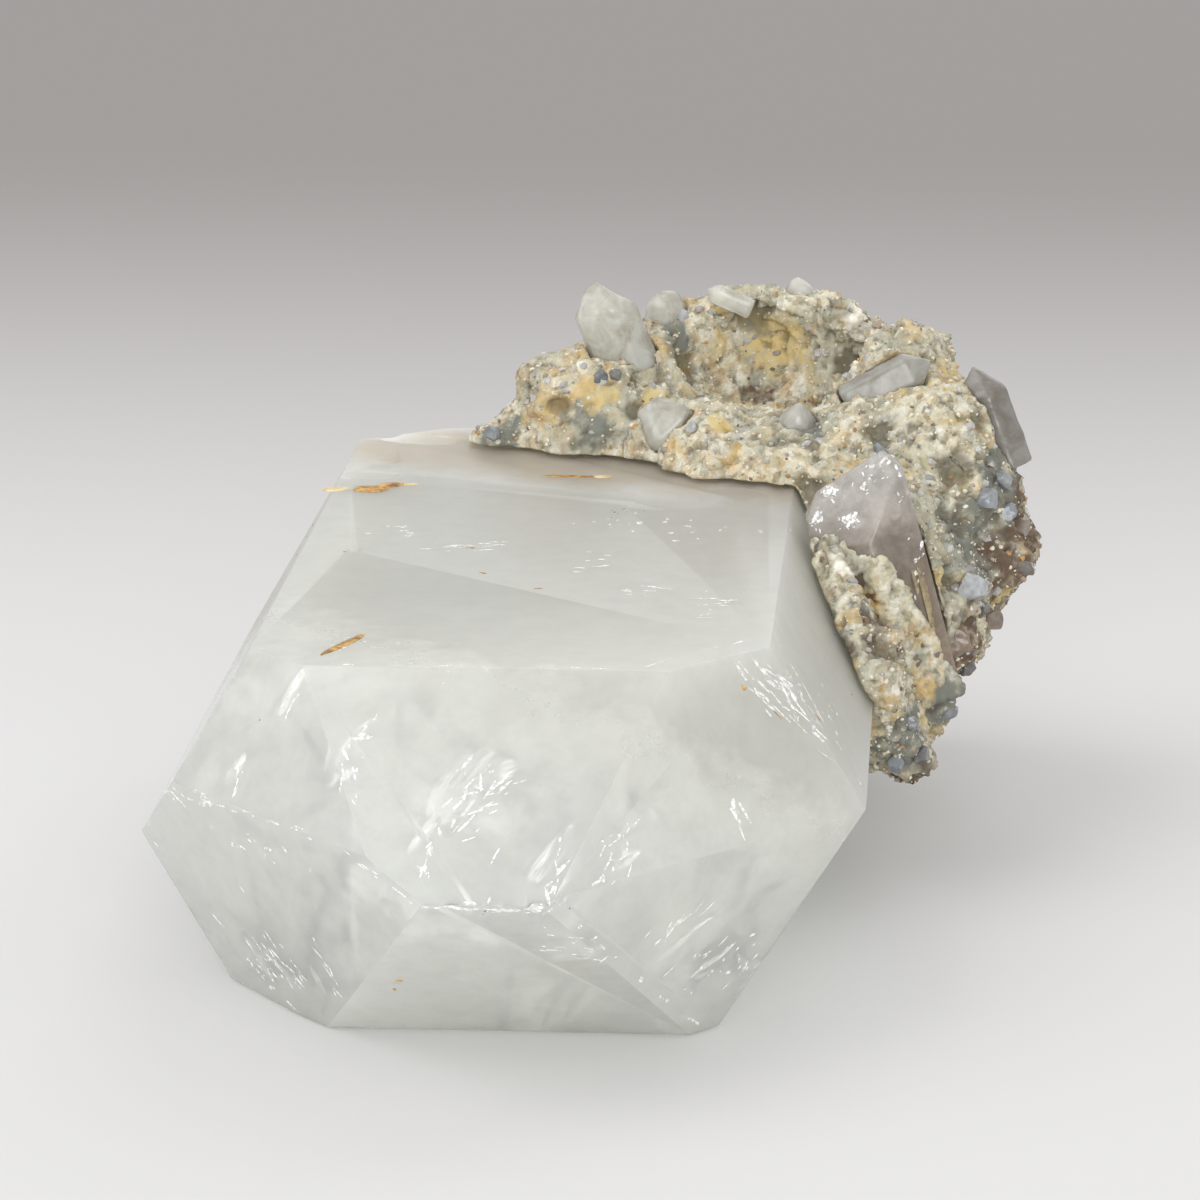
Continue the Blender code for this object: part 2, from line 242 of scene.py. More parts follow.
stage = {
    "floorSize": 6.0,
    "airGap": 0.25,  # between the crystal's base and the floor, so that light gets in from below
    # The floor's colour darkens from front to back: a painted falloff of the light.
    "nearFloor": (0.70, 0.695, 0.70),
    "farFloor": (0.305, 0.29, 0.285),
    "fadeStart": 0.02,
    "fadeEnd": 0.54,
    "worldColor": (1.0, 0.995, 0.98),
    "worldStrength": 0.73,
}
lamps = {  # where from, side of the square panel, watts
    "key": ((-1.80, -0.40, 2.15), 2.40, 29.0),
    "fill": ((0.20, -1.90, 0.42), 1.20, 23.0),
    "back": ((0.60, 1.60, 1.60), 2.20, 12.0),
}
view = {"turn": 3.9, "tilt": 14.0, "distance": 520.0, "target": (12.1, 0.0, 46.6), "lens": 156.0}


def makeStage():
    bpy.ops.mesh.primitive_plane_add(size=stage["floorSize"], location=(0, 0, -stage["airGap"] * mm))
    floor = bpy.context.active_object
    floor.name = "floor"
    material, tree, shader = newMaterial("paleFloor", Roughness=0.9, Specular_IOR_Level=0.1)
    depth = partAlong(tree, objectSpace(tree), "Y")
    # Painted falloff of the light: lighter in front, darker towards the back.
    paintedFalloff = rescale(tree, depth, stage["fadeStart"], stage["fadeEnd"], interpolation_type="SMOOTHSTEP")
    color = mixColors(tree, paintedFalloff, stage["nearFloor"], stage["farFloor"])
    tree.links.new(color, shader.inputs["Base Color"])
    floor.data.materials.append(material)

    world = bpy.data.worlds.new("softRoom")
    world.use_nodes = True
    background = world.node_tree.nodes["Background"]
    background.inputs["Color"].default_value = (*stage["worldColor"], 1.0)
    background.inputs["Strength"].default_value = stage["worldStrength"]
    bpy.context.scene.world = world

    for name, (place, side, power) in lamps.items():
        bpy.ops.object.light_add(type="AREA", location=place)
        lamp = bpy.context.active_object
        lamp.name = name
        lamp.data.size = side
        lamp.data.energy = power
        lamp.rotation_euler = (Vector((0, 0, 0.02)) - Vector(place)).to_track_quat("-Z", "Y").to_euler()


def makeCamera():
    turn, tilt = math.radians(view["turn"]), math.radians(view["tilt"])
    back = Vector((math.sin(turn) * math.cos(tilt), -math.cos(turn) * math.cos(tilt), math.sin(tilt)))
    eye = at(*view["target"]) + back * view["distance"] * mm
    bpy.ops.object.camera_add(location=eye, rotation=back.to_track_quat("Z", "Y").to_euler())
    camera = bpy.context.active_object
    camera.data.sensor_width = 36.0
    camera.data.lens = view["lens"]
    camera.data.clip_start = 0.01
    bpy.context.scene.camera = camera
    bpy.context.scene.view_settings.view_transform = "Standard"


makeCamera()
makeStage()
print("stage ready")


# The large crystal

crystal = {
    "edgeWidth": 0.30,
    "roughness": (0.06, 0.38),  # polished, and where it is misty
    "clearness": (0.56, 0.20),  # what isn't clear is milk
    "milk": (0.93, 0.935, 0.885),
    "milkDepth": 36.0,  # how far light wanders in the milk
    "tint": (0.95, 0.98, 0.94),
    "absorption": 9.0,
    "shade": (0.66, 0.67, 0.655),  # share of lamp light that each face lets through
    "striation": 0.25,
    "cloudiness": 0.93,  # darkest of the milk's clouds
    # Mist on the top and right faces: satin and less clear, and its grey colour is painted shade. By the
    # rock, a brownish painted shade and reflection of the rock. Each starts and is full at a distance from
    # the origin along its way, and that shade keeps to the heights that it has.
    "mistAndShade": {"way": (0.35, 0.35, 0.87), "reach": (0.0105, 0.0205), "color": (0.55, 0.55, 0.515)},
    "paintedShade": {"way": (0.36, 0.93, 0.0), "reach": (0.0305, 0.0375), "color": (0.50, 0.44, 0.36),
             "heights": (0.0385, 0.0398)},
    "scoops": [  # shell-shaped chips: middle, radii and turn about the upright in degrees
        ((16.6, 73.6, 40.30), (6.2, 4.6, 0.95), -10.0),
        ((13.5, 71.0, 40.15), (3.4, 2.6, 0.60), 14.0),
        ((22.5, 78.6, 40.20), (4.2, 2.2, 0.62), -22.0),
        ((-18.0, 47.2, 40.10), (0.9, 1.5, 0.40), 0.0),
        ((-19.4, 92.0, 40.15), (2.0, 1.8, 0.55), 20.0),
        ((-24.0, 108.6, 40.25), (2.4, 3.2, 0.80), -15.0),
        ((-0.6, -24.9, 21.6), (1.1, 0.7, 0.7), 0.0),
        ((1.2, -25.3, 22.5), (0.8, 0.6, 0.6), 10.0),
        ((7.9, -24.8, 21.9), (1.3, 0.8, 0.7), -12.0),
        ((10.2, -24.0, 22.3), (0.9, 0.8, 0.8), 0.0),
        ((-31.8, -1.6, 24.4), (1.2, 0.9, 0.8), 30.0),
    ],
}


def letLampsThrough(tree, shader, shade):
    toLamp = addNode(tree, "ShaderNodeLightPath").outputs["Is Shadow Ray"]
    clear = addNode(tree, "ShaderNodeBsdfTransparent", [("Color", (*shade, 1.0))])
    mixed = addNode(tree, "ShaderNodeMixShader", [(0, toLamp), (1, shader.outputs[0]), (2, clear.outputs[0])])
    tree.links.new(mixed.outputs[0], tree.nodes["Material Output"].inputs["Surface"])


def shareBeyond(tree, place, patch):
    along = addNode(tree, "ShaderNodeVectorMath", [(0, place), (1, patch["way"])], operation="DOT_PRODUCT")
    spread = noiseField(tree, place, 260.0)
    ragged = addNode(tree, "ShaderNodeMath", [(0, spread), (1, 0.010), (2, along.outputs["Value"])],
                     operation="MULTIPLY_ADD")
    return rescale(tree, ragged.outputs[0], *patch["reach"])


def clearQuartz(name, look):
    material, tree, shader = newMaterial(name, IOR=quartzIndex, Subsurface_Weight=1.0,
                                         Subsurface_Radius=(1.0, 1.0, 0.9),
                                         Subsurface_Scale=look["milkDepth"] * mm)
    place = objectSpace(tree)
    # The mist greys the milk: painted shade on the large crystal's top and right faces and low on the second
    # crystal, with a real satin, less clear finish.
    mistAndShade = shareBeyond(tree, place, look["mistAndShade"])
    # The brownish layer is painted shade: by the rock on the large crystal, where it also paints the rock's
    # reflection, and low down on the second crystal.
    raised = rescale(tree, partAlong(tree, place, "Z"), *look["paintedShade"]["heights"])
    paintedShade = multiply(tree, raised, shareBeyond(tree, place, look["paintedShade"]))
    clouds = ramp(tree, noiseField(tree, place, 330.0, detail=6.0, roughness=0.7),
                  (0.36, look["cloudiness"]), (0.60, 1.0))
    milk = mixColors(tree, mistAndShade, look["milk"], look["mistAndShade"]["color"])
    milk = mixColors(tree, paintedShade, milk, look["paintedShade"]["color"])
    tree.links.new(mixColors(tree, 1.0, milk, clouds, blend="MULTIPLY"), shader.inputs["Base Color"])
    for socket, ends in (("Transmission Weight", look["clearness"]), ("Roughness", look["roughness"])):
        tree.links.new(rescale(tree, mistAndShade, 0.0, 1.0, *ends), shader.inputs[socket])
    lines = addNode(tree, "ShaderNodeMapping", [("Vector", place), ("Scale", (0.10, 1.0, 1.0))])
    striae = noiseField(tree, lines.outputs["Vector"], 900.0, detail=4.0, roughness=0.6)
    roughen(tree, shader, striae, look["striation"], 0.05 * mm)
    volume = addNode(tree, "ShaderNodeVolumeAbsorption", [
        ("Color", (*look["tint"], 1.0)), ("Density", look["absorption"])
    ])
    tree.links.new(volume.outputs["Volume"], tree.nodes["Material Output"].inputs["Volume"])
    letLampsThrough(tree, shader, look["shade"])
    return material


def easeEdges(piece, width):
    bevel = piece.modifiers.new("worn edges", "BEVEL")
    bevel.width = width * mm
    bevel.segments = 2
    bevel.limit_method = "ANGLE"
    bevel.angle_limit = math.radians(14)
    applyAll(piece)


def scoopOut(piece, scoops):
    cutters = []
    for middle, radii, turn in scoops:
        bpy.ops.mesh.primitive_uv_sphere_add(segments=24, ring_count=14, radius=mm, location=at(*middle),
                                             rotation=(0, 0, math.radians(turn)), scale=radii)
        cutters.append(bpy.context.active_object)
        settle(cutters[-1])
    for cutter in cutters:
        cut = piece.modifiers.new("scoop", "BOOLEAN")
        cut.operation = "DIFFERENCE"
        cut.object = cutter
    applyAll(piece)
    for cutter in cutters:
        bpy.data.objects.remove(cutter, do_unlink=True)
    slant = Vector((1.0, 0.618, 0.347))
    shape = bmesh.new()  # the cuts leave the corners in another order each run
    shape.from_mesh(piece.data)
    shape.verts.sort(key=lambda corner: corner.co.dot(slant))
    shape.to_mesh(piece.data)
    shape.free()


def makeMainCrystal():
    point = copyNode("main_crystal", "quartz_point")
    easeEdges(point, crystal["edgeWidth"])
    scoopOut(point, crystal["scoops"])
    makeActive(point)
    bpy.ops.object.shade_smooth_by_angle(angle=math.radians(25))
    finishPiece(point, clearQuartz("clearQuartz", crystal), "clear_quartz", "main_crystal")
    return point


quartzPoint = makeMainCrystal()
print("large crystal ready:", len(quartzPoint.data.polygons), "faces")


# Cloudy veils inside the large crystal, each a thin closed leaf

veils = {
    "count": 24,
    "smallest": 8.0,
    "largest": 30.0,
    "bend": 0.22,  # share of the leaf's size
    "thickness": 0.12,
    "margin": 1.2,  # kept between a veil and the crystal's faces
    "densest": 0.80,
    "seed": 11,
}


def skinOf(piece):
    mesh = piece.data
    faces = [face.vertices[:] for face in mesh.polygons]
    return BVHTree.FromPolygons([vert.co for vert in mesh.vertices], faces)


def depthUnder(skin, place):
    nearest, normal, face, distance = skin.find_nearest(place)
    return distance if (place - nearest).dot(normal) < 0 else -distance


def tuckUnder(skin, piece, depth):
    for vert in piece.data.vertices:
        if depthUnder(skin, vert.co) < depth:
            nearest, normal, face, distance = skin.find_nearest(vert.co)
            vert.co = nearest - normal * depth


def flatGrid(cuts):
    bpy.ops.mesh.primitive_grid_add(x_subdivisions=cuts, y_subdivisions=cuts, size=1.0)
    return keepShape()


wideLeaf, smallLeaf = flatGrid(7), flatGrid(3)


def makeLeaf(length, width, bend, turn, place, number, shape=wideLeaf):
    leaf = copyShape(shape, "leaf")
    for vert in leaf.data.vertices:
        wave = noise.noise(Vector((vert.co.x * 1.7 + number, vert.co.y * 1.7, number * 0.37)))
        vert.co.z = wave * bend
    leaf.data.transform(Matrix.Diagonal((length * mm, width * mm, max(length, width) * mm, 1.0)))
    leaf.data.transform(turn.to_matrix().to_4x4())
    leaf.data.transform(Matrix.Translation(place))
    return leaf


def joinLeaves(leaves, name, thickness, skin, depth):
    piece = joinAll(leaves, name)
    wall = piece.modifiers.new("thickness", "SOLIDIFY")
    wall.thickness = thickness * mm
    wall.offset = 0.0
    applyAll(piece)
    tuckUnder(skin, piece, depth * mm)
    print(name, len(leaves), "leaves")
    return piece


def fadeToRim(tree, start):
    uv = addNode(tree, "ShaderNodeTexCoord").outputs["UV"]
    centred = addNode(tree, "ShaderNodeVectorMath", [(0, uv), (1, (0.5, 0.5, 0.0))], operation="SUBTRACT")
    reach = addNode(tree, "ShaderNodeVectorMath", [(0, centred.outputs[0])], operation="LENGTH")
    return rescale(tree, reach.outputs["Value"], start, 0.48, 1.0, 0.0, interpolation_type="SMOOTHSTEP")


def veilMaterial():
    material, tree, shader = newMaterial("cloudyVeil")
    wisps = noiseField(tree, objectSpace(tree), 210.0, detail=6.0, roughness=0.68)
    cloud = rescale(tree, wisps, 0.44, 0.72, 0.0, veils["densest"])
    alpha = multiply(tree, fadeToRim(tree, 0.20), cloud)
    white = (0.99, 0.995, 0.98, 1.0)
    near = addNode(tree, "ShaderNodeBsdfDiffuse", [("Color", white)]).outputs[0]
    through = addNode(tree, "ShaderNodeBsdfTranslucent", [("Color", white)]).outputs[0]
    haze = addNode(tree, "ShaderNodeMixShader", [(0, 0.5), (1, near), (2, through)]).outputs[0]
    clear = addNode(tree, "ShaderNodeBsdfTransparent").outputs[0]
    mixed = addNode(tree, "ShaderNodeMixShader", [(0, alpha), (1, clear), (2, haze)]).outputs[0]
    tree.links.new(mixed, tree.nodes["Material Output"].inputs["Surface"])
    tree.nodes.remove(shader)
    return material


def makeVeils(material):
    chance = random.Random(veils["seed"])
    skin = skinOf(quartzPoint)
    leaves = []
    while len(leaves) < veils["count"]:
        place = at(chance.uniform(-34, 34), chance.uniform(-20, 104), chance.uniform(2, 38))
        length = chance.uniform(veils["smallest"], veils["largest"])
        width = length * chance.uniform(0.35, 0.9)
        turn = anyWay(chance).to_track_quat("Z", "Y")
        corners = [place + turn @ Vector((x * length * 0.5 * mm, y * width * 0.5 * mm, 0))
                   for x in (-1, 0, 1) for y in (-1, 0, 1)]
        if all(depthUnder(skin, corner) > veils["margin"] * mm for corner in corners):
            leaves.append(makeLeaf(length, width, veils["bend"], turn, place, len(leaves)))
    piece = joinLeaves(leaves, "inner_veils", veils["thickness"], skin, 0.5)
    finishPiece(piece, material, "clear_quartz")


cloudyVeil = veilMaterial()
makeVeils(cloudyVeil)


# Bright cracks and silky streaks, set where the crystal shows them

flaws = {
    "thickness": 0.05,
    "cracks": [  # middle, direction of its length, length, width
        ((-12.5, -7.4, 30.6), (0.12, -0.30, -0.94), 6.4, 2.6),
        ((-10.9, -6.4, 34.0), (0.35, 0.10, 0.93), 4.2, 1.5),
        ((-1.2, -5.6, 26.4), (0.30, 0.10, 0.95), 11.0, 6.0),
        ((1.6, -7.2, 28.6), (0.80, 0.10, 0.50), 7.0, 3.4),
        ((-4.6, -8.2, 21.6), (0.20, 0.0, 0.98), 5.4, 1.6),
        ((8.2, -13.2, 22.4), (0.22, 0.10, 0.95), 8.4, 2.6),
        ((13.6, -11.4, 22.0), (0.70, 0.10, 0.65), 6.4, 3.2),
        ((14.8, -9.6, 25.4), (0.75, 0.0, 0.60), 4.4, 1.8),
        ((10.4, -12.4, 14.4), (0.97, 0.10, -0.10), 7.6, 2.6),
        ((12.4, -11.6, 12.9), (0.98, 0.0, -0.05), 6.2, 0.9),
        ((19.8, -2.4, 13.0), (0.85, 0.10, 0.50), 8.6, 2.0),
        ((22.6, 2.4, 9.0), (0.85, 0.10, 0.45), 6.0, 1.2),
        ((26.6, 8.2, 5.4), (0.55, 0.20, 0.80), 5.6, 1.4),
        ((28.6, 9.2, 35.2), (0.42, 0.45, -0.78), 12.0, 2.6),
        ((30.6, 12.4, 33.8), (0.40, 0.40, -0.82), 11.0, 2.0),
        ((26.6, 6.6, 37.0), (0.40, 0.45, -0.80), 7.0, 1.6),
        ((33.2, 21.8, 28.8), (0.36, 0.40, -0.84), 9.0, 2.0),
        ((31.2, 17.4, 31.4), (0.40, 0.45, -0.80), 8.0, 1.2),
        ((-22.9, 11.0, 5.4), (0.42, -0.30, -0.86), 9.0, 1.8),
        ((-19.9, 6.4, 4.6), (0.50, -0.30, -0.80), 6.4, 1.2),
        ((-15.9, 2.6, 6.0), (0.40, -0.20, -0.90), 5.6, 1.2),
        ((-25.2, 0.9, 19.8), (0.92, -0.20, -0.30), 4.0, 1.2),
        ((-34.8, 22.6, 19.4), (0.45, -0.60, -0.65), 6.0, 1.4),
        ((-18.6, -2.4, 37.0), (0.25, -0.10, 0.96), 7.0, 1.4),
        ((-24.6, -1.4, 28.6), (0.20, -0.10, 0.97), 4.6, 1.8),
        ((25.6, -3.0, 27.4), (0.25, 0.10, -0.96), 10.0, 1.6),
        ((21.0, -6.4, 4.2), (0.55, 0.10, 0.80), 5.0, 2.0),
        ((-6.0, 60.0, 37.6), (0.98, 0.20, 0.0), 9.0, 2.4),
        ((9.0, 52.0, 37.8), (0.98, 0.10, 0.0), 5.0, 2.2),
        ((14.0, 40.0, 37.2), (0.97, -0.20, 0.0), 6.0, 2.6),
        ((22.6, 36.0, 37.6), (0.90, 0.40, 0.0), 7.0, 3.0),
        ((-14.0, 62.0, 38.4), (0.96, 0.30, 0.0), 6.4, 2.0),
    ],
    "secondCracks": [
        ((33.7, 67.0, 42.8), (0.6, -0.5, -0.3), 3.2, 2.2),
        ((32.1, 65.9, 39.7), (0.2, -0.6, -0.8), 2.6, 1.6),
        ((36.0, 63.7, 40.2), (0.8, -0.3, -0.4), 3.4, 2.4),
        ((37.6, 65.6, 44.4), (0.3, 0.2, 0.9), 2.2, 0.5),
        ((39.5, 66.1, 46.6), (0.6, 0.2, 0.7), 1.6, 0.5),
    ],
    "edges": [  # start and end of a chipped edge, and how many chips
        ((-33.2, 6.8, 23.8), (-21.3, -7.5, 25.4), 10), ((-21.3, -7.5, 25.4), (-12.3, -17.4, 25.4), 8),
        ((-12.3, -17.4, 25.4), (-3.3, -24.2, 21.8), 9), ((-3.1, -24.6, 21.8), (9.8, -23.8, 21.8), 30),
        ((9.8, -23.2, 21.4), (22.1, 4.0, 0.5), 12), ((-15.0, -1.6, 40.0), (15.0, -1.6, 40.0), 6),
        ((-22.0, 7.0, 0.4), (22.0, 4.4, 0.4), 26), ((-37.4, 17.2, 17.0), (-23.0, 10.0, 2.0), 8),
        ((16.0, -1.4, 39.6), (27.8, 12.0, 40.0), 8), ((28.4, 14.0, 39.8), (37.8, 14.0, 24.0), 8),
    ],
    # Clusters of white strokes where the second crystal's face mirrors the lamp: painted highlights.
    "secondHighlights": [
        ((37.6, 65.4, 44.6), (1.6, 0.8, 3.2), 16), ((40.6, 65.0, 44.0), (0.8, 1.0, 3.4), 14),
        ((32.4, 66.4, 40.6), (1.2, 1.4, 1.6), 10), ((43.6, 63.4, 35.0), (1.8, 0.6, 5.0), 12),
        ((33.7, 67.0, 42.8), (1.0, 0.5, 0.6), 30), ((36.0, 63.7, 40.2), (1.2, 0.6, 0.9), 40),
        ((32.1, 65.9, 39.8), (0.4, 0.4, 1.1), 18),
    ],
    "chips": [  # middle and reach of a cluster of sparks along a broken edge, and how many
        ((5.6, -24.0, 21.9), (5.6, 0.7, 0.6), 26),
        ((-31.0, -1.4, 23.6), (1.8, 1.4, 0.9), 16),
        ((-24.0, -6.4, 21.0), (7.0, 4.4, 1.6), 12),
        ((-14.6, 5.6, 39.6), (2.0, 4.0, 0.3), 8),
        ((31.0, 9.6, 34.6), (2.4, 2.4, 4.0), 22),
        ((33.6, 22.0, 29.4), (1.2, 7.0, 2.6), 16),
        ((16.0, 62.0, 39.2), (18.0, 7.0, 0.5), 26),
        ((-22.4, 9.0, 5.0), (3.4, 3.4, 3.0), 16),
        ((22.0, 2.0, 8.0), (5.0, 5.0, 3.0), 14),
    ],
    "sparks": 60,
    "strokeLength": (0.05, 0.32),  # share of the crack's length
    "strokeWidth": (0.07, 0.34),
    "chipSize": (0.2, 0.95),
    "sparkSize": (0.35, 1.6),
    "sparkDepth": (0.3, 3.0),
    "unevenness": (0.04, 0.16),  # of the way that cracks and sparks face
    "seed": 21,
}


def leafTurn(along, facing):
    up = Vector(facing).normalized()
    side = up.cross(Vector(along)).normalized()
    return Matrix((side.cross(up), side, up)).transposed().to_quaternion()


# The way that a crack faces when it flashes: halfway between the lamp and the bent line of sight
def facingLamp(skin, place, chance, unevenness):
    toEye = (bpy.context.scene.camera.location - place).normalized()
    normal = skin.ray_cast(place, toEye)[1] or toEye
    aside = (toEye - normal * toEye.dot(normal)) / quartzIndex
    inside = aside + normal * math.sqrt(1.0 - aside.length_squared)
    toLamp = (Vector(lamps["key"][0]) - place).normalized()
    return (inside + toLamp).normalized() + anyWay(chance) * unevenness


def flawMaterial():
    material, tree, shader = newMaterial("brightFlaw", Base_Color=(1.0, 1.0, 1.0, 1.0), Metallic=1.0,
                                         Roughness=0.30)  # a crack mirrors the lamps
    uv = addNode(tree, "ShaderNodeTexCoord").outputs["UV"]
    drawn = addNode(tree, "ShaderNodeMapping", [("Vector", uv), ("Scale", (1.4, 7.0, 1.0))]).outputs["Vector"]
    moved = [(0, objectSpace(tree)), ("Scale", 60.0)]
    shift = addNode(tree, "ShaderNodeVectorMath", moved, operation="SCALE")
    along = addNode(tree, "ShaderNodeVectorMath", [(0, drawn), (1, shift.outputs[0])], operation="ADD")
    streaks = noiseField(tree, along.outputs[0], 1.6, detail=4.0, roughness=0.65)
    alpha = multiply(tree, fadeToRim(tree, 0.38), rescale(tree, streaks, 0.42, 0.52))
    tree.links.new(alpha, shader.inputs["Alpha"])
    return material


def makeFlaws(host, rows, sparks, chips, name):
    chance = random.Random(flaws["seed"])
    skin = skinOf(host)
    mesh = host.data
    leaves = []
    for middle, along, length, width in rows:
        facing = facingLamp(skin, at(*middle), chance, flaws["unevenness"][0])
        leaves.append(makeLeaf(length, width, 0.06, leafTurn(along, facing), at(*middle), len(leaves)))
    areas = [face.area if face.center.y < at(0, 84, 0).y else 0.0 for face in mesh.polygons]
    places = []
    for face in chance.choices(mesh.polygons, weights=areas, k=sparks):
        place = spotOn(face, mesh, chance, 1.5)
        places.append(place - face.normal * chance.uniform(*flaws["sparkDepth"]) * mm)
    for middle, reach, number in chips:
        for chip in range(number):
            places.append(at(*(chance.gauss(spot, 0.5 * half) for spot, half in zip(middle, reach))))
    for place in places:
        length = chance.uniform(*flaws["sparkSize"])
        if depthUnder(skin, place) > 0.2 * mm:
            turn = leafTurn(anyWay(chance), facingLamp(skin, place, chance, flaws["unevenness"][1]))
            leaves.append(makeLeaf(length, length * chance.uniform(0.25, 0.6), 0.12, turn, place,
                                   len(leaves), smallLeaf))
    piece = joinLeaves(leaves, name, flaws["thickness"], skin, 0.15)
    finishPiece(piece, brightFlaw, "clear_quartz")


brightFlaw = flawMaterial()
makeFlaws(quartzPoint, flaws["cracks"], flaws["sparks"], flaws["chips"], "inner_cracks")


# Rust, dust and splinters on the crystal's faces

flecks = {
    "rust": [  # middle, direction of its length, direction it faces, length, width, height
        ((-14.5, 6.0, 40.0), (0.36, 0.93, 0.0), (0, 0, 1), 9.6, 1.15, 0.16),
        ((-19.6, 77.4, 39.98), (1.0, 0.05, 0.0), (0, 0, 1), 4.4, 3.6, 0.22),
        ((-17.4, 79.6, 39.98), (0.9, 0.3, 0.0), (0, 0, 1), 3.0, 2.0, 0.30),
        ((2.8, 85.6, 40.0), (1.0, -0.02, 0.0), (0, 0, 1), 6.6, 1.1, 0.10),
        ((26.4, 3.4, 36.9), (0.3, 0.3, -0.7), (0.54, -0.62, 0.57), 0.7, 0.5, 0.16),
        ((29.8, 5.1, 33.6), (0.2, 0.5, -0.8), (0.68, -0.62, 0.39), 1.7, 0.16, 0.08),
        ((33.7, 11.7, 31.6), (0.5, 0.6, -0.7), (0.87, 0.0, 0.5), 1.5, 0.26, 0.10),
        ((-7.5, -8.3, 9.0), (1.0, 0.0, 0.0), (0.0, -0.62, -0.79), 0.75, 0.5, 0.14),
        ((-8.2, -7.2, 7.6), (1.0, 0.2, 0.0), (0.0, -0.62, -0.79), 0.45, 0.3, 0.10),
        ((-3.1, 37.5, 40.0), (0.8, -0.6, 0.0), (0, 0, 1), 1.2, 0.28, 0.08),
        ((-5.5, 49.0, 40.0), (1.0, 0.0, 0.0), (0, 0, 1), 1.1, 0.3, 0.08),
        ((3.4, 31.0, 40.0), (1.0, 0.1, 0.0), (0, 0, 1), 1.0, 0.22, 0.07),
    ],
    "ochre": [
        ((-23.6, 77.2, 39.97), (1.0, 0.2, 0.0), (0, 0, 1), 3.4, 2.6, 0.12),
        ((-15.4, 80.2, 39.97), (0.97, 0.2, 0.0), (0, 0, 1), 2.4, 1.2, 0.10),
        ((6.6, 85.6, 40.0), (1.0, 0.1, 0.0), (0, 0, 1), 2.4, 1.4, 0.10),
        ((42.5, 61.5, 29.4), (-0.25, 0.0, 0.97), (0.55, -0.82, 0.15), 2.4, 1.5, 0.10),
    ],
    "olive": [
        ((44.5, 63.2, 31.4), (-0.25, 0.0, 0.97), (0.55, -0.82, 0.15), 8.0, 0.9, 0.08),
        ((43.2, 62.4, 33.6), (-0.25, 0.0, 0.97), (0.55, -0.82, 0.15), 3.0, 0.5, 0.06),
    ],
    "colors": {
        "rust": ((0.22, 0.10, 0.035), (0.70, 0.42, 0.12)),
        "ochre": ((0.60, 0.42, 0.18), (0.80, 0.68, 0.42)),
        "olive": ((0.15, 0.11, 0.06), (0.36, 0.29, 0.17)),
    },
    "dust": 34,
    "dustSize": (0.10, 0.24),
    "dustColors": ((0.05, 0.045, 0.04), (0.16, 0.13, 0.10)),
    "seed": 5,
}


bpy.ops.mesh.primitive_ico_sphere_add(subdivisions=2, radius=0.5)
roundFleck = keepShape()


def makeFleck(middle, along, facing, length, width, height):
    fleck = copyShape(roundFleck, "fleck")
    for vert in fleck.data.vertices:
        angle = math.atan2(vert.co.y, vert.co.x)
        ragged = 1.0 + 0.28 * noise.noise(Vector((2.2 * math.cos(angle), 2.2 * math.sin(angle), height * 90)))
        vert.co = Vector((vert.co.x * ragged, vert.co.y * ragged + 0.6 * vert.co.x ** 2 - 0.07, vert.co.z))
    fleck.data.transform(Matrix.Diagonal((length * mm, width * mm, 2 * height * mm, 1.0)))
    fleck.data.transform(leafTurn(along, facing).to_matrix().to_4x4())
    fleck.data.transform(Matrix.Translation(middle))
    return fleck


def fleckMaterial(name, dark, light):
    material, tree, shader = newMaterial(name, Roughness=0.7)
    patchy = noiseField(tree, objectSpace(tree), 900.0, detail=4.0, roughness=0.6)
    tree.links.new(ramp(tree, patchy, (0.38, dark), (0.62, light)), shader.inputs["Base Color"])
    return material


def makeFlecks():
    chance = random.Random(flecks["seed"])
    for name, (dark, light) in flecks["colors"].items():
        pieces = [makeFleck(at(*row[0]), *row[1:]) for row in flecks[name]]
        finishPiece(joinAll(pieces, name + "_flecks"), fleckMaterial(name, dark, light), "matrix_rock")
    mesh = quartzPoint.data
    areas = [face.area if face.normal.y < 0.3 else 0.0 for face in mesh.polygons]
    dust = []
    for face in chance.choices(mesh.polygons, weights=areas, k=flecks["dust"]):
        place = spotOn(face, mesh, chance)
        size = chance.uniform(*flecks["dustSize"])
        if place.y < at(0, 88, 0).y and face.normal.z > -0.9:
            dust.append(makeFleck(place, (chance.gauss(0, 1), chance.gauss(0, 1), 0.3), face.normal,
                                  size * chance.uniform(1, 2.2), size, 0.05))
    finishPiece(joinAll(dust, "dust_specks"), fleckMaterial("darkDust", *flecks["dustColors"]), "matrix_rock")


makeFlecks()
print("flecks ready")


# White strokes on the faces: painted glints where cracks and broken edges flash, and white chipping along the
# edges

def glintsAndChipsMaterial():
    material, tree, shader = newMaterial("paintedGlintsAndChips", Base_Color=(1.0, 1.0, 1.0, 1.0), Roughness=0.3)
    broken = noiseField(tree, objectSpace(tree), 1700.0, detail=4.0, roughness=0.6)
    tree.links.new(ramp(tree, broken, (0.40, 0.06), (0.58, 0.85)), shader.inputs["Alpha"])
    return material


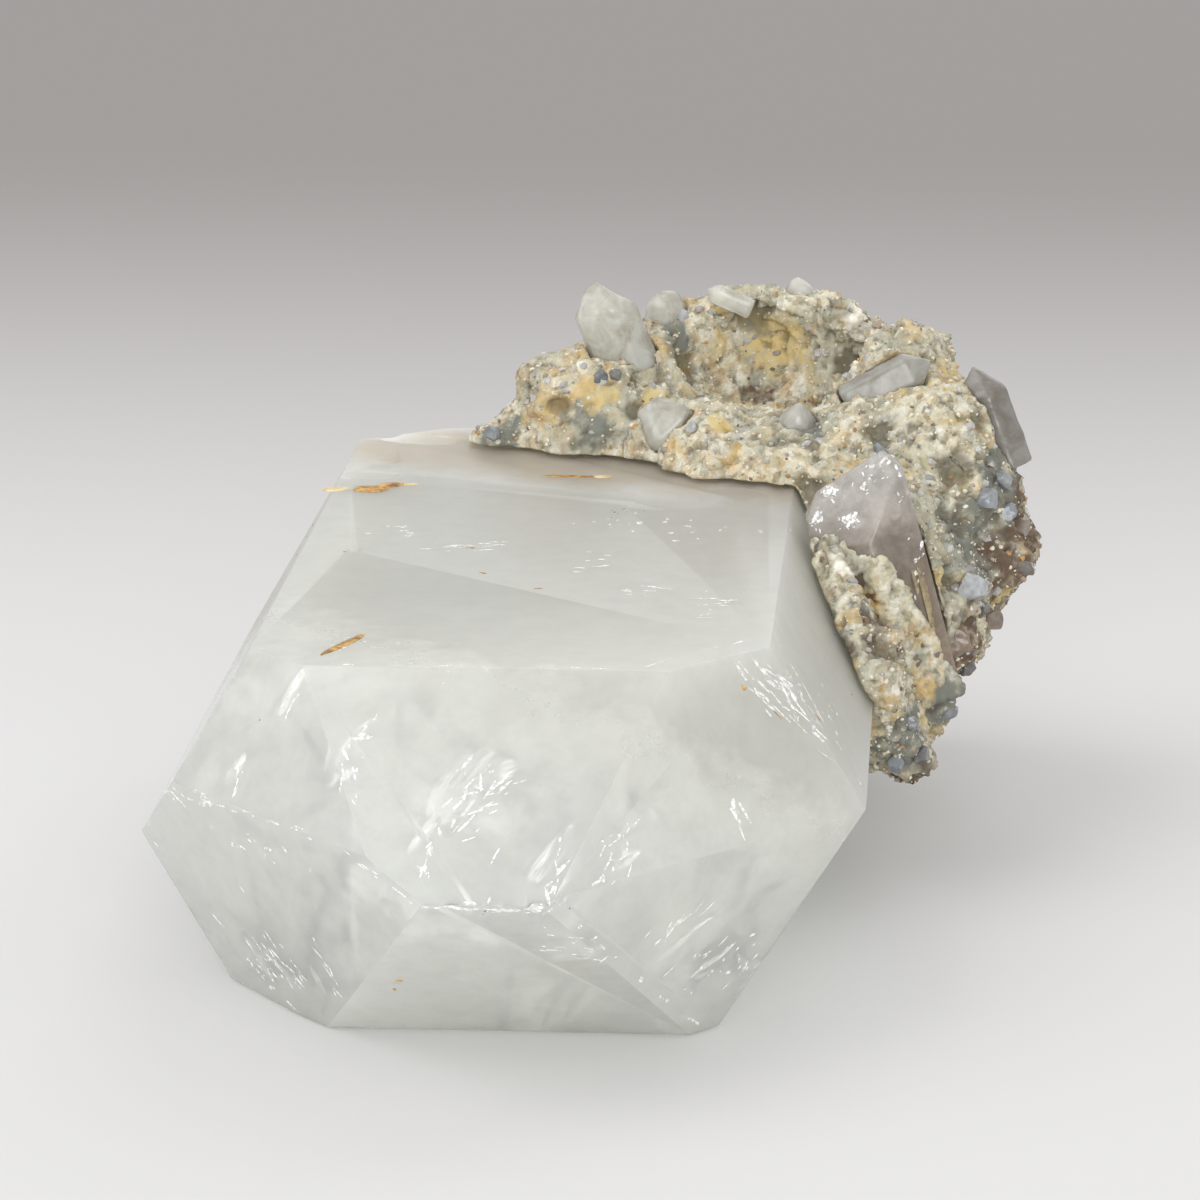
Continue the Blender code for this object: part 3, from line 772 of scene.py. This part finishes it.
def makeGlintsAndChips(host, rows, chips, edges, name):
    chance = random.Random(flaws["seed"])
    skin = skinOf(host)
    eye = bpy.context.scene.camera.location
    strokes = []
    # Strokes over each crack, where it is seen from the camera: painted glints.
    for middle, along, length, width in rows:
        way = Vector(along).normalized()
        side = way.cross(eye - at(*middle)).normalized()
        for stroke in range(round(3 + 2.2 * math.sqrt(length * width))):
            shift = way * chance.gauss(0, 0.26 * length) + side * chance.gauss(0, 0.26 * width)
            start = at(*middle) + shift * mm
            spot, normal = skin.ray_cast(start, (eye - start).normalized())[:2]
            if spot:
                leaning = way + anyWay(chance) * 0.24
                size = length * chance.uniform(*flaws["strokeLength"])
                strokes.append(makeFleck(spot, leaning, normal, size,
                                         chance.uniform(*flaws["strokeWidth"]), 0.04))
    # Sparks at the broken edges: painted glints over white chipping.
    for middle, reach, number in chips:
        for chip in range(number):
            start = at(*(chance.gauss(spot, 0.5 * half) for spot, half in zip(middle, reach)))
            spot, normal = skin.find_nearest(start)[:2]
            way = anyWay(chance)
            size = chance.uniform(*flaws["chipSize"])
            strokes.append(makeFleck(spot, way, normal, size, size * chance.uniform(0.2, 0.6), 0.05))
    # Along the chipped edges: white chipping with painted edge highlights.
    for first, last, number in edges:
        for chip in range(number):
            start = at(*first).lerp(at(*last), chance.random())
            spot, normal = skin.find_nearest(start + anyWay(chance) * 0.2 * mm)[:2]
            size = 2.0 * chance.uniform(*flaws["chipSize"])
            strokes.append(makeFleck(spot, at(*last) - at(*first), normal, size,
                                     chance.uniform(0.12, 0.36), 0.05))
    finishPiece(joinAll(strokes, name), paintedGlintsAndChips, "milky_quartz")
    print(name, len(strokes), "strokes")


paintedGlintsAndChips = glintsAndChipsMaterial()
makeGlintsAndChips(quartzPoint, flaws["cracks"], flaws["chips"], flaws["edges"], "painted_glints_and_chips")


# The porous rock

smallCrystals = [name for name in frame["nodes"] if name.startswith("small_crystal")]
crystalNodes = ["main_crystal", "side_crystal"] + smallCrystals

rock = {
    "cell": 0.46,  # size of the surface's squares before it is worked
    "lumpSpacing": 2.7,
    "lumpHeight": 0.60,
    "grainSpacing": 1.15,
    "grainHeight": 0.42,
    "fineSpacing": 0.50,
    "fineHeight": 0.14,
    "pitSpacing": 1.45,
    "pitShare": 0.26,  # of the cells that hold a pit
    "pitDepth": 0.85,
    "largePitSpacing": 4.2,
    "largePitShare": 0.16,
    "largePitDepth": 1.5,
    "seam": (0.25, 0.9),  # distance from a crystal where the working starts, and where it is full
    "patches": {  # where the rock is stained, and where the large grey and brown patches low on the right flank paint its shade: middle and reach
        "ochre": [
            ((26.0, 114.0, 51.0), 7.0), ((18.0, 113.0, 50.0), 3.6), ((5.4, 97.6, 47.4), 3.4),
            ((46.0, 69.6, 32.4), 2.2), ((41.5, 91.0, 46.0), 4.6), ((37.6, 50.0, 26.0), 3.2),
            ((12.0, 99.0, 47.0), 2.6), ((46.0, 100.0, 50.0), 3.4), ((54.0, 84.0, 26.0), 3.0),
            ((20.0, 90.4, 45.4), 2.4), ((-4.0, 98.0, 44.0), 2.4), ((43.0, 82.0, 43.0), 4.0),
            ((45.0, 92.0, 48.0), 4.0),
        ],
        "brown": [
            ((24.0, 112.0, 44.0), 3.0), ((54.0, 86.0, 28.0), 10.0), ((49.0, 74.0, 22.0), 8.0),
            ((43.4, 59.0, 11.0), 4.6), ((37.4, 54.0, 27.0), 6.0), ((39.6, 57.0, 29.0), 3.4),
            ((55.0, 91.0, 33.0), 8.0), ((31.0, 107.0, 44.0), 3.0),
        ],
        "grey": [
            ((43.0, 54.0, 17.0), 7.6), ((50.0, 80.0, 34.0), 10.0), ((-7.0, 99.0, 42.0), 4.4),
            ((4.4, 96.0, 43.4), 3.6), ((31.0, 88.0, 43.6), 4.4), ((46.4, 66.0, 20.0), 7.0),
            ((14.0, 108.0, 52.0), 3.4), ((52.6, 88.0, 39.0), 7.0), ((36.0, 56.0, 30.6), 3.4),
            ((22.0, 92.0, 42.6), 3.0),
        ],
        "white": [
            ((35.6, 58.4, 37.0), 3.6), ((18.6, 91.0, 43.0), 3.0), ((31.0, 98.0, 45.0), 3.4),
            ((42.0, 97.0, 50.0), 4.0), ((30.0, 113.6, 58.0), 5.0), ((12.0, 113.6, 55.0), 4.0),
            ((35.9, 107.8, 54.6), 5.0),
        ],
    },
    "stainsAndShade": {  # blotch level where a colour starts and where it is full, colour, from the lowest up; grey and brown include painted shade on the right flank
        "white": (0.34, 0.62, (0.92, 0.90, 0.82)),
        "grey": (0.22, 0.50, (0.19, 0.195, 0.165)),
        "brown": (0.20, 0.52, (0.13, 0.085, 0.055)),
        "ochre": (0.26, 0.56, (0.64, 0.50, 0.23)),
    },
    "tones": [  # colours of the grains, and the share of grains below each
        (0.0, (0.46, 0.36, 0.18)), (0.14, (0.64, 0.58, 0.41)), (0.40, (0.76, 0.73, 0.60)),
        (0.52, (0.90, 0.88, 0.80)), (0.58, (0.40, 0.39, 0.29)), (0.70, (0.18, 0.19, 0.145)),
        (0.84, (0.07, 0.065, 0.05)), (0.90, (0.50, 0.27, 0.10)), (1.0, (0.70, 0.55, 0.30)),
    ],
}


def nearestCrystal():
    corners, faces = [], []
    for name in crystalNodes:
        mesh = frame["nodes"][name].data
        first = len(corners)
        corners += [vert.co.copy() for vert in mesh.vertices]
        faces += [[first + index for index in face.vertices] for face in mesh.polygons]
    return BVHTree.FromPolygons(corners, faces)


def stainAndShadeAt(place, patches):
    share = 0.0
    for middle, reach in patches:
        distance = (place - at(*middle)).length / (reach * mm)
        ragged = distance + 0.35 * noise.noise(place / (2.4 * mm)) + 0.2 * noise.noise(place / (0.8 * mm))
        share = max(share, min(1.0, max(0.0, 1.9 - 1.9 * ragged)))
    return share


def pitAt(place, spacing, share, depth):
    distances, points = noise.voronoi(place / (spacing * mm))
    chance = noise.cell(points[0] * 13.7 + Vector((5.1, 2.3, 8.8)))
    if abs(chance) > share:
        return 0.0
    return depth * max(0.0, 1.0 - (distances[0] / 0.62) ** 2) ** 0.7


def cellEdge(place, spacing, gain=1.0):
    nearest, second = noise.voronoi(place / (spacing * mm))[0][:2]
    return min(1.0, gain * (second - nearest))


def squareUp(piece, side, rounds=0):
    remesh = piece.modifiers.new("even squares", "REMESH")
    remesh.mode = "VOXEL"
    remesh.voxel_size = side * mm
    if rounds:
        ease = piece.modifiers.new("rounded", "SMOOTH")
        ease.iterations = rounds
    applyAll(piece)


# Moves each corner by what the rule gives for its place, and marks pits, stains and painted shade patches
# there
def workSurface(mesh, rule):
    marks = {name: [0.0] * len(mesh.vertices) for name in ("pit", *rock["patches"])}
    normals = [vert.normal.copy() for vert in mesh.vertices]
    for index, vert in enumerate(mesh.vertices):
        place = vert.co.copy()
        height, marks["pit"][index] = rule(place)
        vert.co = place + normals[index] * height * mm
        for name, patches in rock["patches"].items():
            marks[name][index] = stainAndShadeAt(place, patches)
    for name, values in marks.items():
        mesh.attributes.new(name, "FLOAT", "POINT").data.foreach_set("value", values)
    bpy.ops.object.shade_smooth()


def makeRock():
    piece = copyNode("matrix", "porous_rock")
    squareUp(piece, rock["cell"])
    crystals = nearestCrystal()
    start, full = rock["seam"]

    def rule(place):
        gap = crystals.find_nearest(place)[3] / mm
        free = min(1.0, max(0.0, (gap - start) / (full - start)))
        bent = place + noise.noise_vector(place / (1.1 * mm)) * 0.8 * mm
        pit = pitAt(bent, rock["pitSpacing"], rock["pitShare"], rock["pitDepth"])
        pit = max(pit, pitAt(bent + Vector((1, 1, 1)), rock["largePitSpacing"], rock["largePitShare"],
                             rock["largePitDepth"]))
        height = rock["lumpHeight"] * (cellEdge(place, rock["lumpSpacing"]) - 0.3)
        height += rock["grainHeight"] * (cellEdge(place, rock["grainSpacing"], 1.6) - 0.4)
        height += rock["fineHeight"] * noise.noise(place / (rock["fineSpacing"] * mm))
        return (height - pit) * free, min(1.0, pit / rock["pitDepth"]) * free

    workSurface(piece.data, rule)
    print("rock:", len(piece.data.vertices), "corners")
    finishPiece(piece, porousStone, "matrix_rock", "matrix")
    return piece


def attribute(tree, name):
    return addNode(tree, "ShaderNodeAttribute", attribute_name=name).outputs["Fac"]


def cellTones(tree, place, perMetre, *stops):
    cells = addNode(tree, "ShaderNodeTexVoronoi", [("Vector", place), ("Scale", perMetre)]).outputs["Color"]
    return ramp(tree, addNode(tree, "ShaderNodeSeparateColor", [("Color", cells)]).outputs[0], *stops)


def rockMaterial():
    material, tree, shader = newMaterial("porousRock", Roughness=0.85)
    place = objectSpace(tree)
    wander = addNode(tree, "ShaderNodeTexNoise", [("Vector", place), ("Scale", 900.0)]).outputs["Color"]
    bent = addNode(tree, "ShaderNodeVectorMath", [(0, wander), (1, (0.0012,) * 3), (2, place)],
                   operation="MULTIPLY_ADD").outputs[0]
    coarse = cellTones(tree, bent, 620.0, *rock["tones"])
    grains = mixColors(tree, 0.42, coarse, cellTones(tree, bent, 1350.0, *rock["tones"]))
    cement = ramp(tree, noiseField(tree, place, 620.0, detail=5.0, roughness=0.72),
                  (0.37, (0.13, 0.125, 0.085)), (0.48, (0.48, 0.44, 0.32)), (0.62, (0.74, 0.72, 0.61)))
    color = mixColors(tree, 0.42, grains, cement)
    ochreShare = ramp(tree, noiseField(tree, place, 160.0, detail=4.0, roughness=0.6, distortion=0.8),
                      (0.55, 0.0), (0.68, 0.75))
    color = mixColors(tree, ochreShare, color, (0.60, 0.40, 0.13))
    greyShare = ramp(tree, noiseField(tree, place, 95.0, roughness=0.5), (0.52, 0.0), (0.64, 0.5))
    color = mixColors(tree, greyShare, color, (0.34, 0.34, 0.27))
    blotches = noiseField(tree, place, 480.0, detail=4.0, roughness=0.65)
    # Stains, and on the right flank painted shade in grey and brown.
    for name, (start, full, tint) in rock["stainsAndShade"].items():
        reach = multiply(tree, attribute(tree, name), blotches)
        color = mixColors(tree, ramp(tree, reach, (start, 0.0), (full, 1.0)), color, tint)
    # Pits are coloured dark brown-grey: painted shade in the hollows.
    pitShare = ramp(tree, attribute(tree, "pit"), (0.25, 0.0), (1.0, 0.66))
    color = mixColors(tree, pitShare, color, (0.11, 0.095, 0.06))
    tree.links.new(color, shader.inputs["Base Color"])
    roughen(tree, shader, noiseField(tree, place, 2600.0, detail=4.0, roughness=0.7), 0.7, 0.12 * mm)
    return material


porousStone = rockMaterial()
porousRock = makeRock()


# Loose-looking grains that stand on the rock

grains = {
    "pale": {"count": 5600, "size": (0.16, 0.50), "seed": 3, "slot": "matrix_rock"},
    "glassy": {"count": 1000, "size": (0.30, 0.95), "seed": 8, "slot": "milky_quartz"},
    "paleTones": [
        (0.0, (0.70, 0.64, 0.50)), (0.40, (0.76, 0.72, 0.62)), (0.62, (0.66, 0.55, 0.36)),
        (0.78, (0.34, 0.33, 0.27)), (0.90, (0.12, 0.11, 0.09)), (1.0, (0.52, 0.30, 0.10)),
    ],
    "glassyTones": [
        (0.0, (0.70, 0.70, 0.68)), (0.5, (0.52, 0.50, 0.48)), (0.8, (0.36, 0.34, 0.34)),
        (1.0, (0.52, 0.40, 0.28)),
    ],
    "lumpTones": [
        (0.0, (0.78, 0.80, 0.84)), (0.40, (0.62, 0.64, 0.66)), (0.62, (0.34, 0.37, 0.40)),
        (0.75, (0.24, 0.23, 0.22)), (0.86, (0.38, 0.30, 0.25)), (1.0, (0.42, 0.31, 0.22)),
    ],
    "large": [  # worn lumps of clear and smoky quartz on the right flank: near, size, tone
        ((51.5, 84.3, 38.2), 1.5, 0.55), ((53.4, 87.0, 36.2), 1.4, 0.62), ((52.6, 88.0, 40.0), 1.2, 0.50),
        ((55.2, 89.6, 33.4), 1.9, 0.90), ((54.6, 86.0, 30.0), 1.7, 0.80), ((54.0, 92.0, 30.0), 1.6, 0.95),
        ((49.6, 73.0, 30.6), 1.8, 0.15), ((48.4, 72.6, 24.6), 2.1, 0.97), ((50.6, 78.0, 27.0), 1.3, 0.70),
        ((53.0, 81.0, 25.0), 1.5, 0.85), ((50.0, 76.0, 20.0), 1.2, 0.75), ((46.8, 66.0, 18.0), 1.2, 0.60),
        ((5.4, 97.8, 49.6), 0.9, 0.66), ((7.2, 97.8, 49.8), 0.8, 0.72), ((-7.4, 98.6, 42.4), 1.0, 0.60),
        ((30.0, 88.6, 44.2), 1.1, 0.64), ((27.4, 90.0, 43.4), 0.9, 0.70), ((38.6, 85.0, 44.2), 1.0, 0.55),
        ((43.2, 52.6, 19.6), 0.9, 0.68), ((44.6, 56.0, 14.6), 1.1, 0.72), ((41.6, 54.0, 12.6), 1.0, 0.60),
        ((36.0, 97.0, 49.4), 1.1, 0.30), ((16.6, 91.0, 44.6), 0.8, 0.25), ((13.4, 110.6, 56.0), 0.9, 0.35),
    ],
}


def growGrains(name, facts, material):
    chance = random.Random(facts["seed"])
    bpy.ops.mesh.primitive_ico_sphere_add(subdivisions=1, radius=1.0)
    ball = keepShape()
    corners = [vert.co.copy() for vert in ball.vertices]
    sides = [list(face.vertices) for face in ball.polygons]
    mesh = porousRock.data
    crystals = nearestCrystal()
    areas = [face.area for face in mesh.polygons]
    picked = chance.choices(range(len(areas)), weights=areas, k=facts["count"] * 2)
    pit = mesh.attributes["pit"].data
    allCorners, allSides, tones = [], [], []
    for index in picked:
        if len(tones) >= facts["count"] * len(corners):
            break
        face = mesh.polygons[index]
        size = facts["size"][0] + (facts["size"][1] - facts["size"][0]) * chance.random() ** 2.2
        if pit[face.vertices[0]].value > 0.35 + chance.random():
            continue
        if crystals.find_nearest(face.center)[3] < (size + 0.25) * mm:
            continue
        turn = anyWay(chance).to_track_quat("Z", "Y")
        stretch = Vector((1.0, chance.uniform(0.6, 1.0), chance.uniform(0.45, 0.9)))
        place = face.center - face.normal * size * 0.25 * mm
        first = len(allCorners)
        tone = chance.random()
        for corner in corners:
            worn = corner * chance.uniform(0.78, 1.12)
            shaped = Vector((worn.x * stretch.x, worn.y * stretch.y, worn.z * stretch.z))
            allCorners.append(place + turn @ shaped * size * mm)
            tones.append(tone)
        allSides += [[first + corner for corner in side] for side in sides]
    piece = bpy.data.objects.new(name, bpy.data.meshes.new(name))
    bpy.context.collection.objects.link(piece)
    piece.data.from_pydata(allCorners, [], allSides)
    piece.data.attributes.new("tone", "FLOAT", "POINT").data.foreach_set("value", tones)
    finishPiece(piece, material, facts["slot"])
    print(name, len(allSides), "faces")


def growLumps():
    chance = random.Random(17)
    skin = skinOf(porousRock)
    bpy.ops.mesh.primitive_ico_sphere_add(subdivisions=4, radius=1.0)
    ball = keepShape()
    lumps = []
    for middle, size, tone in grains["large"]:
        spot, normal = skin.find_nearest(at(*middle))[:2]
        lump = copyShape(ball, "lump")
        cuts = [(anyWay(chance).normalized(), chance.uniform(0.55, 0.95)) for cut in range(11)]
        for vert in lump.data.vertices:
            way = vert.co.normalized()
            reach = min([1.15] + [depth / way.dot(side) for side, depth in cuts if way.dot(side) > 0.25])
            worn = 1.0 + 0.05 * noise.noise(way * 3.1 + Vector((size, tone, 0)))
            vert.co = spot - normal * size * 0.25 * mm + way * reach * worn * size * mm
        tones = lump.data.attributes.new("tone", "FLOAT", "POINT")
        tones.data.foreach_set("value", [tone] * len(lump.data.vertices))
        lumps.append(lump)
    piece = joinAll(lumps, "quartz_lumps")
    bpy.ops.object.shade_smooth_by_angle(angle=math.radians(28))
    finishPiece(piece, lumpMaterial(), "milky_quartz")


def lumpMaterial():
    material, tree, shader = newMaterial("quartzLumps", Roughness=0.16, IOR=quartzIndex,
                                         Transmission_Weight=0.35)
    tint = ramp(tree, attribute(tree, "tone"), *grains["lumpTones"])
    cloud = ramp(tree, noiseField(tree, objectSpace(tree), 900.0, detail=4.0), (0.36, 0.70), (0.60, 1.0))
    tree.links.new(mixColors(tree, 1.0, tint, cloud, blend="MULTIPLY"), shader.inputs["Base Color"])
    return material


def grainMaterial(name, tones, **values):
    material, tree, shader = newMaterial(name, **values)
    tree.links.new(ramp(tree, attribute(tree, "tone"), *tones), shader.inputs["Base Color"])
    return material


growGrains("pale_grains", grains["pale"], grainMaterial("paleGrains", grains["paleTones"], Roughness=0.55))
growGrains("glassy_grains", grains["glassy"],
           grainMaterial("glassyGrains", grains["glassyTones"], Roughness=0.18, IOR=quartzIndex,
                         Transmission_Weight=0.25))
growLumps()


# The small crystals, worn and milky

worn = {
    "cell": 0.34,
    "smoothing": 9,
    "waveSpacing": 2.2,
    "waveHeight": 0.16,
    # Finish: material, colour, colour of its clouds and clear share
    "milky": ("milkyQuartz", (0.82, 0.82, 0.76), (0.54, 0.51, 0.43), 0.48),
    "small_crystal_lying": ("greyQuartz", (0.62, 0.62, 0.57), (0.44, 0.42, 0.37), 0.50),
    "small_crystal_right_edge": ("darkQuartz", (0.46, 0.45, 0.41), (0.24, 0.20, 0.16), 0.50),
}


def milkyQuartz(name, color, deep, clearness):
    material, tree, shader = newMaterial(name, Roughness=0.24, IOR=quartzIndex, Transmission_Weight=clearness,
                                         Subsurface_Weight=0.35, Subsurface_Radius=(1.0, 0.95, 0.85),
                                         Subsurface_Scale=2.0 * mm)
    place = objectSpace(tree)
    cloud = noiseField(tree, place, 330.0, detail=4.0, roughness=0.6, distortion=0.7)
    tree.links.new(ramp(tree, cloud, (0.35, deep), (0.62, color)), shader.inputs["Base Color"])
    roughen(tree, shader, noiseField(tree, place, 1500.0), 0.35, 0.06 * mm)
    return material


def makeSmallCrystals():
    milky = milkyQuartz(*worn["milky"])
    for node in smallCrystals:
        piece = copyNode(node, node.replace("small_crystal", "milky_crystal"))
        squareUp(piece, worn["cell"], worn["smoothing"])
        normals = [vert.normal.copy() for vert in piece.data.vertices]
        for vert, normal in zip(piece.data.vertices, normals):
            wave = noise.noise(vert.co / (worn["waveSpacing"] * mm))
            vert.co += normal * wave * worn["waveHeight"] * mm
        bpy.ops.object.shade_smooth()
        finishPiece(piece, milkyQuartz(*worn[node]) if node in worn else milky, "milky_quartz", node)


makeSmallCrystals()
print("small crystals ready")


# The second crystal

secondCrystal = {
    "edgeWidth": 0.35,
    "roughness": (0.05, 0.25),
    "clearness": (0.62, 0.30),
    "milk": (0.95, 0.93, 0.90),
    "milkDepth": 2.0,
    "tint": (0.78, 0.72, 0.62),
    "absorption": 60.0,
    "shade": (0.55, 0.52, 0.46),
    "cloudiness": 0.66,
    # Darker and browner towards the bottom: partly the crystal's own brown, partly painted shade on its lower
    # and right side.
    "mistAndShade": {"way": (0.0, 0.0, -1.0), "reach": (-0.042, -0.031), "color": (0.32, 0.26, 0.20)},
    "paintedShade": {"way": (0.0, 0.0, -1.0), "reach": (-0.030, -0.016), "color": (0.40, 0.31, 0.23),
             "heights": (-0.02, -0.01)},
    "striation": 0.5,
    "axis": (-0.25, 0.01, 0.97),
    "rightFace": (0.55, -0.82, 0.15),
    "streaks": [  # silky bands under the right face: middle, length, width
        ((41.4, 63.7, 41.8), 5.4, 1.8), ((44.1, 63.6, 32.0), 13.0, 1.8), ((45.8, 64.4, 27.0), 11.0, 1.5),
        ((42.8, 62.5, 31.0), 10.0, 1.2), ((46.8, 64.9, 23.4), 8.0, 1.8),
    ],
    "crustCuts": [  # a point on each cut that ends the crust, and the way that it faces
        ((36.0, 61.0, 37.8), (0.25, 0.0, 1.0)), ((41.9, 60.6, 33.0), (0.85, 0.10, 0.52)),
        ((38.0, 64.0, 33.0), (0.33, 0.88, 0.34)),
    ],
    "crustThickness": 0.75,
    "crustCell": 0.30,
}


def makeSideCrystal():
    piece = copyNode("side_crystal", "second_point")
    easeEdges(piece, secondCrystal["edgeWidth"])
    bpy.ops.object.shade_smooth_by_angle(angle=math.radians(25))
    finishPiece(piece, clearQuartz("smokyQuartz", secondCrystal), "clear_quartz", "side_crystal")
    return piece


def makeStreaks(host):
    turn = leafTurn(secondCrystal["axis"], secondCrystal["rightFace"])
    leaves = [makeLeaf(length, width, 0.05, turn, at(*middle), length)
              for middle, length, width in secondCrystal["streaks"]]
    piece = joinLeaves(leaves, "second_streaks", veils["thickness"], skinOf(host), 0.15)
    finishPiece(piece, cloudyVeil, "clear_quartz")


def makeCrust():
    piece = copyNode("side_crystal", "crystal_crust")
    bpy.ops.object.mode_set(mode="EDIT")
    for spot, way in secondCrystal["crustCuts"]:
        bpy.ops.mesh.select_all(action="SELECT")
        bpy.ops.mesh.bisect(plane_co=at(*spot), plane_no=way, clear_outer=True, use_fill=True)
    bpy.ops.object.mode_set(mode="OBJECT")
    squareUp(piece, secondCrystal["crustCell"], 8)
    largeCrystal = skinOf(frame["nodes"]["main_crystal"])

    def rule(place):
        thick = secondCrystal["crustThickness"] * (0.6 + 0.8 * noise.noise(place / (2.6 * mm)))
        thick += 0.34 * (cellEdge(place, 0.9, 1.6) - 0.3) + 0.16 * noise.noise(place / (0.45 * mm))
        bent = place + noise.noise_vector(place / (1.0 * mm)) * 0.9 * mm
        pit = pitAt(bent, 1.3, 0.24, 0.6)
        room = largeCrystal.find_nearest(place)[3] / mm - 0.3
        return min(thick - pit, max(room, -0.2)), min(1.0, pit / 0.6)

    workSurface(piece.data, rule)
    finishPiece(piece, porousStone, "matrix_rock")


makeCrust()
secondPoint = makeSideCrystal()
makeFlaws(secondPoint, flaws["secondCracks"], 24, [], "second_cracks")
# Painted highlights on the second crystal's face.
makeGlintsAndChips(secondPoint, flaws["secondCracks"], flaws["secondHighlights"], [], "second_painted_highlights")
makeStreaks(secondPoint)
print("second crystal ready")
